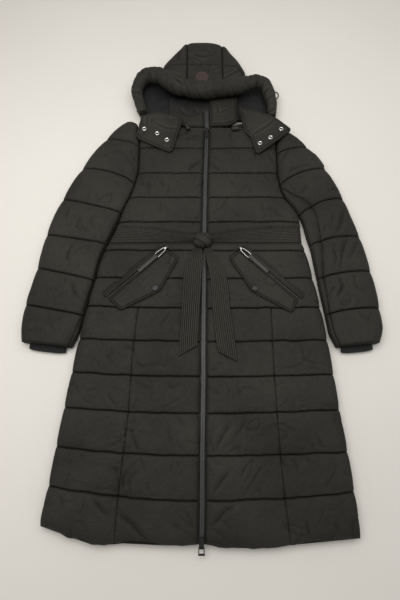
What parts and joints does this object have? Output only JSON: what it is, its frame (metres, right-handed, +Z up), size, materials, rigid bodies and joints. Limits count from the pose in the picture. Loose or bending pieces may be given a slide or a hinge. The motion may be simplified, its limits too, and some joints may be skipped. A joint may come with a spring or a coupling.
{
  "type": "long puffer coat",
  "caption": "Long quilted puffer coat laid flat on its back: zipped up, belted with a knot, its padded hood turned up.",
  "frame": {"origin": "on the surface the coat lies on, under the belt's knot, on the flat underside of the belt's back stretch", "axes": "+X to the viewer's right (the wearer's left), +Y from the hem toward the hood, +Z up out of the front"},
  "size_m": [0.875, 1.4053, 0.075],
  "materials": {
    "quilted_shell": "matt woven nylon over filling, very dark charcoal with a brown cast",
    "rib_knit": "near-black rib knit",
    "zip_tape": "satin coated zip tape, dark grey",
    "black_metal": "black lacquered metal",
    "silver_metal": "bright nickel",
    "black_plastic": "black moulded plastic",
    "patch": null
  },
  "bodies": {
    "coat": {"back": "quilted_shell", "back_collar": "quilted_shell", "belt_back": "quilted_shell", "belt_knot": "quilted_shell", "belt_left_band": "quilted_shell", "belt_left_tail": "quilted_shell", "belt_loop": "quilted_shell", "belt_right_band": "quilted_shell", "belt_right_tail": "quilted_shell", "cord_loop": "quilted_shell", "hood_back": "quilted_shell", "hood_brim": "quilted_shell", "hood_centre": "quilted_shell", "hood_left": "quilted_shell", "hood_patch": "patch", "hood_right": "quilted_shell", "left_collar": "quilted_shell", "left_cord_lock": "black_plastic", "left_cuff": "rib_knit", "left_front": "quilted_shell", "left_hood_flap": "quilted_shell", "left_hood_snap_1": "silver_metal", "left_hood_snap_2": "silver_metal", "left_hood_snap_3": "silver_metal", "left_pocket_flap": "quilted_shell", "left_pocket_slider": "black_metal", "left_pocket_snap": "black_metal", "left_pocket_welt": "quilted_shell", "left_pocket_zip": "zip_tape", "left_skirt_centre": "quilted_shell", "left_skirt_side": "quilted_shell", "left_sleeve_top": "quilted_shell", "left_sleeve_under": "quilted_shell", "right_collar": "quilted_shell", "right_cord_lock": "black_plastic", "right_cuff": "rib_knit", "right_front": "quilted_shell", "right_hood_flap": "quilted_shell", "right_hood_snap_1": "silver_metal", "right_hood_snap_2": "silver_metal", "right_hood_snap_3": "silver_metal", "right_pocket_flap": "quilted_shell", "right_pocket_slider": "black_metal", "right_pocket_snap": "black_metal", "right_pocket_welt": "quilted_shell", "right_pocket_zip": "zip_tape", "right_skirt_centre": "quilted_shell", "right_skirt_side": "quilted_shell", "right_sleeve_top": "quilted_shell", "right_sleeve_under": "quilted_shell", "sleeve_patch": "patch", "zip_bottom_slider": "black_metal", "zip_left_tape": "zip_tape", "zip_right_tape": "zip_tape", "zip_top_slider": "black_metal"},
    "zip_top_pull": {"zip_top_pull": "black_metal"},
    "zip_bottom_pull": {"zip_bottom_pull": "black_metal"},
    "left_pocket_pull": {"left_pocket_pull": "black_metal"},
    "right_pocket_pull": {"right_pocket_pull": "black_metal"}
  },
  "joints": [
    {"name": "zip_top_pull_swing", "type": "hinge", "parent": "coat", "child": "zip_top_pull", "pos_m": [0.02, 0.342, 0.0253], "axis": [-1, 0, 0], "range_deg": [0, 160]},
    {"name": "zip_bottom_pull_swing", "type": "hinge", "parent": "coat", "child": "zip_bottom_pull", "pos_m": [0.003, -0.703, 0.0244], "axis": [-1, 0, 0], "range_deg": [0, 180]},
    {"name": "left_pocket_pull_swing", "type": "hinge", "parent": "coat", "child": "left_pocket_pull", "pos_m": [-0.0869, -0.03676, 0.0357], "axis": [-0.6895, 0.7243, 0], "range_deg": [0, 150]},
    {"name": "right_pocket_pull_swing", "type": "hinge", "parent": "coat", "child": "right_pocket_pull", "pos_m": [0.10288, -0.03778, 0.0357], "axis": [-0.6949, -0.7191, 0], "range_deg": [0, 150]}
  ]
}
